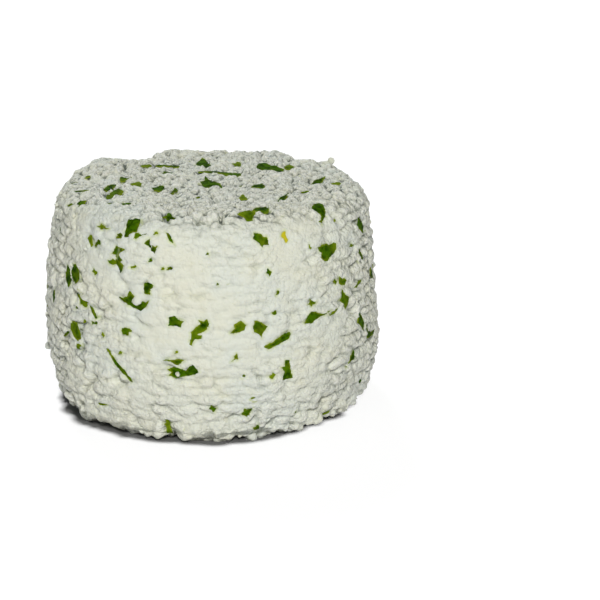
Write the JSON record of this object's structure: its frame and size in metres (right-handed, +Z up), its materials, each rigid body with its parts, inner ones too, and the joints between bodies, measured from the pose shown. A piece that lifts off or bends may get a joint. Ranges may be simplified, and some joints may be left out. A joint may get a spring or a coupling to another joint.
{
  "type": "primo sale cheese",
  "caption": "Small round fresh curd cheese with a basket-ridged side, a pebbled top and bits of chopped rocket leaf pressed into its skin.",
  "frame": {"origin": "middle of the flat base, under the middle of the cheese's box", "axes": "+Z up along the cheese's axis, -Y towards the front, +X to the right"},
  "size_m": [0.1262, 0.1268, 0.0835],
  "materials": {
    "curd": "moist ivory-white fresh curd, softly shiny, with greyer grooves",
    "rocket_leaf": "chopped green leaf, deep green to olive, nearly matt"
  },
  "bodies": {
    "root": {"cheese": "curd"}
  },
  "joints": []
}
